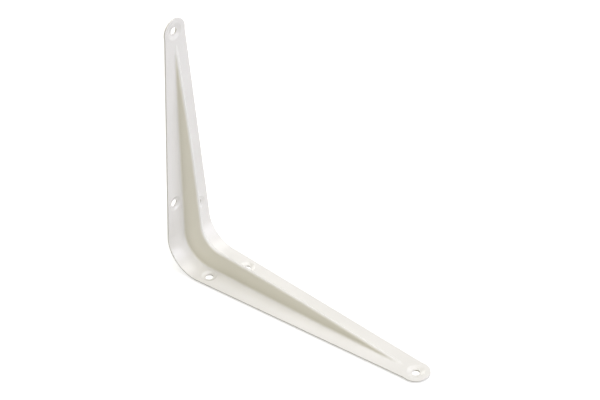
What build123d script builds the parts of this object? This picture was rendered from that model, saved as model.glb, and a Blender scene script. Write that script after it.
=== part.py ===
"""Pressed-steel shelf bracket: one blank of sheet steel, folded to a right angle and stiffened by a hollow rib.

The shelf arm lies along +X and the wall arm stands along +Z. Y is the width, and the bracket is symmetric about
Y = 0 apart from its staggered screw holes. It is modelled from its heel, the corner where the wall plane (X = 0)
and the shelf plane (Z = 0) meet, and its origin is then set midway along the shelf arm. The screw holes are
dished, so only the rims of their dishes touch those planes, and the flanges stand off by the depth of a dish.
All sizes are in millimetres.
"""

import os
from math import atan, cos, radians, tan

from build123d import *

# Blank
SHEET = 1.2  # steel thickness
SHELF_ARM = 250.0  # heel to the tip of the shelf arm
WALL_ARM = 231.0  # heel to the tip of the wall arm
EYE_RADIUS = 11.3  # rounded end of each arm
NECK_HALF_WIDTH = 10.8  # half width of the tapered edges, taken at the centre of the eye
HEEL_HALF_WIDTH = 24.0  # half width at the fold
NECK_BLEND = 14.0  # radius that runs an edge into the eye
FOLD_RADIUS = 28.0  # at the back of the sheet

# Screw holes and the dishes pressed around them
HOLE_RADIUS = 3.2
TIP_DISH_RADIUS = 7.4
HEEL_DISH_RADIUS = 6.4
DISH_DEPTH = 1.2
DISH_FLAT = 1.0  # flat rim left around a hole at the bottom of its dish
DISH_BEND = 1.6  # where the dish leaves the inner face of the flange
DISH_MARGIN = 0.6  # flat ring between a dish and the sheet around it
HEEL_HOLE_OFFSET = 13.6  # from the centre line, one hole on each side of the rib
NEAR_HOLE = 35.0  # heel to the nearer hole of the shelf arm
WALL_HOLE_LIFT = 8.5  # how much further out the wall arm's pair sits
STAGGER = 16.3  # between the two holes of a pair, along the arm

# Rib
CREST_LIFT_AT_HEEL = 15.6  # crest above the flanges, where the two crest lines would cross
CREST_SAG = 2.0  # how far each crest line bows out
CREST_FOLD_RADIUS = 20.0  # inner corner of the crest
RIB_END_GAP = 12.5  # eye centre to the point where the rib runs out
WALL_SLOPE = 16.0  # degrees that each rib wall leans from square
CREST_RADIUS = 1.9  # rounding along the crest, on the outside
ROOT_RADIUS = 2.0  # where the rib rises from the flange
MOUTH_RADIUS = 1.2  # where the rib's cavity opens at the back

flange_back = DISH_DEPTH
flange_face = DISH_DEPTH + SHEET
fold_centre = flange_back + FOLD_RADIUS
crest_half_width = CREST_RADIUS * tan(radians((90 - WALL_SLOPE) / 2)) + 0.03
wall_plane = Plane.YZ.offset(flange_back)
shelf_plane = Plane((0, 0, flange_back), x_dir=(0, 1, 0), z_dir=(0, 0, -1))



def fold_profile(depth):
    """Side view of everything on the inner side of the sheet's surface at this depth from its back."""
    low = flange_back + depth
    high = WALL_ARM + SHELF_ARM
    region = Pos(low, low) * Rectangle(high, high, align=(Align.MIN, Align.MIN))
    heel = region.vertices().sort_by_distance(Vector(low, low, 0))[0]
    return fillet(heel, FOLD_RADIUS - depth)


def inner_side(depth):
    """Everything on the inner side of the sheet's surface at this depth from its back."""
    return extrude(Plane.XZ * fold_profile(depth), 2 * HEEL_HALF_WIDTH, both=True)


def arm_outline(length):
    """Flat view of one arm from the fold to its eye: X is the width, Y the distance from the heel."""
    eye = length - EYE_RADIUS
    taper = Polygon(
        (-HEEL_HALF_WIDTH, fold_centre),
        (HEEL_HALF_WIDTH, fold_centre),
        (NECK_HALF_WIDTH, eye),
        (-NECK_HALF_WIDTH, eye),
        align=None,
    )
    outline = taper + Pos(0, eye) * Circle(EYE_RADIUS)
    necks = [v for v in outline.vertices() if fold_centre + 1 < v.Y]
    return fillet(necks, NECK_BLEND)


def blank():
    """The sheet after folding, with no rib and no holes."""
    wall = extrude(wall_plane * arm_outline(WALL_ARM), SHEET)
    shelf = extrude(shelf_plane * arm_outline(SHELF_ARM), -SHEET)
    strip = Plane.XY.offset(fold_centre) * Pos(flange_back + SHEET / 2, 0) * Rectangle(SHEET, 2 * HEEL_HALF_WIDTH)
    fold = revolve(strip, Axis((fold_centre, 0, fold_centre), (0, -1, 0)), 90)
    return wall + shelf + fold


def crest_profile(depth):
    """Side view of the rib, filled back past the heel, for the sheet's surface at this depth from its back."""
    foot = flange_back + depth
    tip = EYE_RADIUS + RIB_END_GAP
    behind = -2 * FOLD_RADIUS
    meet = Vector(1, 1) * (foot + CREST_LIFT_AT_HEEL)
    wall_crest = SagittaArc((foot, WALL_ARM - tip), meet, CREST_SAG)
    shelf_crest = SagittaArc(meet, (SHELF_ARM - tip, foot), CREST_SAG)
    wall_end = wall_crest @ 0
    shelf_end = shelf_crest @ 1
    back = Polyline(shelf_end, (shelf_end.X, behind), (behind, behind), (behind, wall_end.Y), wall_end)
    side = make_face(Wire([wall_crest, shelf_crest, *back.edges()]))
    corner = side.vertices().sort_by_distance(meet)[0]
    return fillet(corner, CREST_FOLD_RADIUS + SHEET - depth)


def rib(depth):
    """The rib as a filled form that runs on behind the flanges, for the sheet's surface at this depth."""
    lean = radians(WALL_SLOPE)
    drop = SHEET - depth
    half = crest_half_width + drop * (tan(lean) - 1 / cos(lean))
    side = crest_profile(depth)
    core = extrude(Plane.XZ * side, half, both=True)
    flank = extrude(Plane.XZ.offset(half) * side, CREST_LIFT_AT_HEEL / 2, taper=90 - WALL_SLOPE)
    form = core + flank + mirror(flank, Plane.XZ)
    crest = [e for e in form.edges() if abs(abs(e.center().Y) - half) < 0.01 and e.center().X + e.center().Z > 0]
    crest = [e for e in crest if e.geom_type == GeomType.CIRCLE]
    return fillet(crest, CREST_RADIUS - drop)


def ribbed_sheet():
    """The folded blank with the hollow rib pressed into it. Its cavity opens at the back with a rounded mouth."""
    plain = blank()
    rise = rib(SHEET) & inner_side(SHEET / 2)
    front = plain + rise
    front = fillet(new_edges(plain, rise, combined=front), ROOT_RADIUS)

    size = 1.2 * max(SHELF_ARM, WALL_ARM)
    square = Pos(size / 2 - FOLD_RADIUS, size / 2 - FOLD_RADIUS) * Rectangle(size, size)
    behind = extrude(Plane.XZ * square, HEEL_HALF_WIDTH + SHEET, both=True) - inner_side(0)
    cavity = rib(0) & inner_side(-SHEET)
    punch = behind + cavity
    punch = fillet(new_edges(behind, cavity, combined=punch), MOUTH_RADIUS)
    return front - punch


def dish(outer_radius):
    """The ring of sheet around one hole, pressed to the back. Z is the hole's axis and Z = 0 the flange's back."""
    rim = HOLE_RADIUS + DISH_FLAT
    lean = atan(DISH_DEPTH / (outer_radius - rim))
    shift = SHEET * tan(lean / 2)
    edge = outer_radius + DISH_MARGIN
    face = Polygon(
        (edge, 0),
        (edge, SHEET),
        (outer_radius, SHEET),
        (rim, SHEET - DISH_DEPTH),
        (HOLE_RADIUS, SHEET - DISH_DEPTH),
        (HOLE_RADIUS, -DISH_DEPTH),
        (rim + shift, -DISH_DEPTH),
        (outer_radius + shift, 0),
        align=None,
    )
    shoulder = face.vertices().sort_by_distance(Vector(outer_radius, SHEET))[0]
    face = fillet(shoulder, DISH_BEND)
    return revolve(Plane.XZ * face, Axis.Z, 360)


def press_dish(body, place, outer_radius):
    """Swap the flat sheet around one hole for its dish."""
    clear = place * Cylinder(outer_radius + DISH_MARGIN, 4 * SHEET)
    return body - clear + place * dish(outer_radius)


wall_pair = NEAR_HOLE + WALL_HOLE_LIFT
wall_holes = [
    (0, WALL_ARM - EYE_RADIUS, TIP_DISH_RADIUS),
    (HEEL_HOLE_OFFSET, wall_pair, HEEL_DISH_RADIUS),
    (-HEEL_HOLE_OFFSET, wall_pair + STAGGER, HEEL_DISH_RADIUS),
]
shelf_holes = [
    (0, SHELF_ARM - EYE_RADIUS, TIP_DISH_RADIUS),
    (-HEEL_HOLE_OFFSET, NEAR_HOLE, HEEL_DISH_RADIUS),
    (HEEL_HOLE_OFFSET, NEAR_HOLE + STAGGER, HEEL_DISH_RADIUS),
]

body = ribbed_sheet()
for across, along, radius in wall_holes:
    body = press_dish(body, wall_plane * Pos(across, along), radius)
for across, along, radius in shelf_holes:
    body = press_dish(body, Plane.XY.offset(flange_back) * Pos(along, across), radius)

bracket = Pos(-SHELF_ARM / 2, 0, 0) * body.solids()[0]

os.makedirs("parts", exist_ok=True)
export_step(bracket, "parts/bracket.step")
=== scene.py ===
"""Studio scene of a white, pressed-steel shelf bracket standing on its shelf arm."""

import bmesh
import bpy
from mathutils import Matrix, Vector


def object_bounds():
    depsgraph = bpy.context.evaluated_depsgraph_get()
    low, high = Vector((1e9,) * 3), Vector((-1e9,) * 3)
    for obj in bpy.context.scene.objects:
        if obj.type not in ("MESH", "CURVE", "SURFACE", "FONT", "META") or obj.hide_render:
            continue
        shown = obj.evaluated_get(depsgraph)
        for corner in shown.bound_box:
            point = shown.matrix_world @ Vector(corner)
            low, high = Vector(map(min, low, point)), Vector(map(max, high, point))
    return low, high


# Lengths are in metres.
RIB_WALL_INNER = 0.008  # the rib's drawn walls lie within this distance of the centre line and the shade painted on them has faded out by this one
RIB_WALL_OUTER = 0.009  # and their tint has faded out by this one
SHADE_REACH = 0.01  # how far around itself a point looks for a hollow to paint shade in
EDGE_ROUNDING = 0.0007  # radius of the edges, which also evens out the facets of the flanges
PEEL_HEIGHT = 0.0002
FLOOR_HALF_WIDTH = 6.0
LAMPLIT = 0.4  # out to here the lamps light the floor
LAMPLESS = 1.6  # from here on the floor is white by its own glow

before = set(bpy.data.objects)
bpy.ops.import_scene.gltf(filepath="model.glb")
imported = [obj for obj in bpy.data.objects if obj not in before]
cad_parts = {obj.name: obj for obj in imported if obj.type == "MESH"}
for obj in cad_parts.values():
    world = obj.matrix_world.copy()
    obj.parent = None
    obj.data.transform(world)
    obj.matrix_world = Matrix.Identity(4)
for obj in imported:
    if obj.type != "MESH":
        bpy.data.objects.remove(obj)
cad_box = [list(corner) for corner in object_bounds()]


def combine(tree, operation, first, second=None):
    """The result of a maths node on one socket or two."""
    node = tree.nodes.new("ShaderNodeMath")
    node.operation = operation
    tree.links.new(first, node.inputs[0])
    if second is not None:
        tree.links.new(second, node.inputs[1])
    return node.outputs["Value"]


def remap(tree, value, taken=(0.0, 1.0), given=(0.0, 1.0)):
    """A value carried from one range to another, and held at the ends of the second."""
    node = tree.nodes.new("ShaderNodeMapRange")
    node.inputs["From Min"].default_value, node.inputs["From Max"].default_value = taken
    node.inputs["To Min"].default_value, node.inputs["To Max"].default_value = given
    tree.links.new(value, node.inputs["Value"])
    return node.outputs["Result"]


def noise(tree, place, scale, detail):
    """Soft noise over an object. A larger scale makes it finer."""
    node = tree.nodes.new("ShaderNodeTexNoise")
    node.inputs["Scale"].default_value = scale
    node.inputs["Detail"].default_value = detail
    tree.links.new(place, node.inputs["Vector"])
    return node.outputs["Fac"]


def sideways(tree, vector):
    """How far a vector reaches to either side, along Y."""
    split = tree.nodes.new("ShaderNodeSeparateXYZ")
    tree.links.new(vector, split.inputs["Vector"])
    return combine(tree, "ABSOLUTE", split.outputs["Y"])


def tinted(tree, base, tint, amount):
    """A colour turned towards a fixed tint by an amount from none to one."""
    node = tree.nodes.new("ShaderNodeMix")
    node.data_type = "RGBA"
    node.inputs["B"].default_value = tint
    tree.links.new(amount, node.inputs["Factor"])
    tree.links.new(base, node.inputs["A"])
    return node.outputs["Result"]


def seen_or_mirrored(tree):
    """One for what the camera or the gloss sees, and none for the light that falls on things."""
    ray = tree.nodes.new("ShaderNodeLightPath")
    return combine(tree, "MAXIMUM", ray.outputs["Is Camera Ray"], ray.outputs["Is Glossy Ray"])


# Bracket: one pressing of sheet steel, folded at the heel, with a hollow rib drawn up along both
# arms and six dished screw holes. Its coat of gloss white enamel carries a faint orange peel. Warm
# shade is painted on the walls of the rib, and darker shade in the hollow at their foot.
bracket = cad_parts["bracket"]
enamel = bpy.data.materials.new("white_enamel")
enamel.use_nodes = True
tree = enamel.node_tree
paint = tree.nodes["Principled BSDF"]
paint.inputs["IOR"].default_value = 1.5
paint.inputs["Coat Weight"].default_value = 0.35
paint.inputs["Coat Roughness"].default_value = 0.12
place = tree.nodes.new("ShaderNodeTexCoord").outputs["Object"]

# Its white drifts a little from place to place.
white = tree.nodes.new("ShaderNodeValToRGB")
darker, paler = white.color_ramp.elements
darker.position = 0.3
darker.color = (0.80, 0.795, 0.78, 1)
paler.position = 0.7
paler.color = (0.84, 0.835, 0.825, 1)
tree.links.new(noise(tree, place, 22.0, 3.0), white.inputs["Fac"])

# The drawn walls of the rib face sideways and lie near the centre line. A warm shade is painted on
# them, and a darker, yellower painted shade in the hollow at their foot.
normal = tree.nodes.new("ShaderNodeNewGeometry").outputs["Normal"]
steep = remap(tree, sideways(tree, normal), taken=(0.45, 0.95))
near_centre = remap(tree, sideways(tree, place), taken=(RIB_WALL_OUTER, RIB_WALL_INNER))
rib_wall = combine(tree, "MULTIPLY", steep, near_centre)
# Painted shade: the sideways-facing rib walls are turned towards a warmer, slightly darker white.
painted_wall_shade = tinted(tree, white.outputs["Color"], (0.83, 0.81, 0.72, 1), rib_wall)
# Painted shade: where ambient occlusion finds a hollow at the foot of the rib walls, the colour
# turns darker and yellower.
hollow = tree.nodes.new("ShaderNodeAmbientOcclusion")
hollow.samples = 8
hollow.only_local = True
hollow.inputs["Distance"].default_value = SHADE_REACH
deep = remap(tree, hollow.outputs["AO"], taken=(0.95, 0.4))
foot = combine(tree, "MULTIPLY", deep, rib_wall)
painted_foot_shade = tinted(tree, painted_wall_shade, (0.60, 0.585, 0.49, 1), foot)
tree.links.new(painted_foot_shade, paint.inputs["Base Color"])

# Gloss that varies softly, a fine orange peel, and edges rounded by the enamel.
gloss = remap(tree, noise(tree, place, 60.0, 2.0), given=(0.16, 0.28))
tree.links.new(gloss, paint.inputs["Roughness"])
rounded = tree.nodes.new("ShaderNodeBevel")
rounded.samples = 8
rounded.inputs["Radius"].default_value = EDGE_ROUNDING
skin = tree.nodes.new("ShaderNodeBump")
skin.inputs["Strength"].default_value = 0.12
skin.inputs["Distance"].default_value = PEEL_HEIGHT
tree.links.new(rounded.outputs["Normal"], skin.inputs["Normal"])
tree.links.new(noise(tree, place, 900.0, 1.0), skin.inputs["Height"])
tree.links.new(skin.outputs["Normal"], paint.inputs["Normal"])

for slot in bracket.material_slots:
    slot.material = enamel

# Floor: a wide sheet of white card under the bracket. It takes a faint shadow beside the heel, and
# is seen as plain white further out, where the lamps don't reach.
sheet = bmesh.new()
bmesh.ops.create_grid(sheet, x_segments=1, y_segments=1, size=FLOOR_HALF_WIDTH)
floor_mesh = bpy.data.meshes.new("studio_floor")
sheet.to_mesh(floor_mesh)
sheet.free()
floor = bpy.data.objects.new("studio_floor", floor_mesh)
bpy.context.collection.objects.link(floor)

card = bpy.data.materials.new("white_card")
card.use_nodes = True
floor_mesh.materials.append(card)
tree = card.node_tree
surface = tree.nodes["Principled BSDF"]
surface.inputs["Base Color"].default_value = (0.6, 0.6, 0.6, 1)
surface.inputs["Roughness"].default_value = 0.9
surface.inputs["Specular IOR Level"].default_value = 0.0
surface.inputs["Emission Color"].default_value = (1, 1, 1, 1)
spot = tree.nodes.new("ShaderNodeTexCoord").outputs["Object"]
distance = tree.nodes.new("ShaderNodeVectorMath")
distance.operation = "LENGTH"
tree.links.new(spot, distance.inputs[0])
lift = remap(tree, distance.outputs["Value"], taken=(LAMPLIT, LAMPLESS), given=(0.6, 1.0))
glow = combine(tree, "MULTIPLY", seen_or_mirrored(tree), lift)
tree.links.new(glow, surface.inputs["Emission Strength"])

# Room: white where it is seen or mirrored in the gloss, and a dim warm light on everything else.
world = bpy.data.worlds.new("studio")
bpy.context.scene.world = world
world.use_nodes = True
tree = world.node_tree
room = tree.nodes["Background"]
seen = seen_or_mirrored(tree)
walls = tree.nodes.new("ShaderNodeMix")
walls.data_type = "RGBA"
walls.inputs["A"].default_value = (1.0, 0.965, 0.78, 1)
walls.inputs["B"].default_value = (1.0, 1.0, 1.0, 1)
tree.links.new(seen, walls.inputs["Factor"])
tree.links.new(walls.outputs["Result"], room.inputs["Color"])
tree.links.new(remap(tree, seen, given=(0.2, 1.0)), room.inputs["Strength"])


def softbox(name, stand, aim, size, power, colour):
    """A square lamp of this many metres and watts, turned from its stand towards a point."""
    lamp = bpy.data.lights.new(name, "AREA")
    lamp.size = size
    lamp.energy = power
    lamp.color = colour
    holder = bpy.data.objects.new(name, lamp)
    holder.location = stand
    holder.rotation_euler = (Vector(aim) - Vector(stand)).to_track_quat("-Z", "Y").to_euler()
    bpy.context.collection.objects.link(holder)


# Lamps: a large softbox overhead, a cool one that faces the wall arm, one behind it, and a weak
# warm one on the near side.
wall_arm = (cad_box[0][0], 0, 0.1)
softbox("overhead_lamp", (0.2, 0.25, 1.7), (0, 0, 0.05), 2.2, 26, (1.0, 0.975, 0.94))
softbox("front_lamp", (1.6, 0.5, 0.7), wall_arm, 1.4, 16, (0.88, 0.88, 1.0))
softbox("back_lamp", (-1.6, 0.3, 0.7), wall_arm, 1.4, 12, (1.0, 0.99, 0.97))
softbox("side_lamp", (-0.1, -1.6, 0.4), (0, 0, 0.1), 1.0, 3.5, (1.0, 0.94, 0.74))

# Camera: a long lens above the bracket and to one side, looking down into the angle between the
# arms.
lens = bpy.data.cameras.new("camera")
lens.lens = 204.7
lens.sensor_width = 36.0
lens.clip_start = 0.1
lens.clip_end = 50.0
camera = bpy.data.objects.new("camera", lens)
bpy.context.collection.objects.link(camera)
bpy.context.scene.camera = camera
stand = Vector((1.4075, -1.5134, 1.7303))
right = Vector((0.7515, 0.6586, -0.0376)).normalized()
up = Vector((-0.3839, 0.4830, 0.7870)).normalized()
aim = Matrix((right, up, right.cross(up))).transposed().to_4x4()
camera.matrix_world = Matrix.Translation(stand) @ aim

bpy.context.scene.view_settings.view_transform = "Standard"
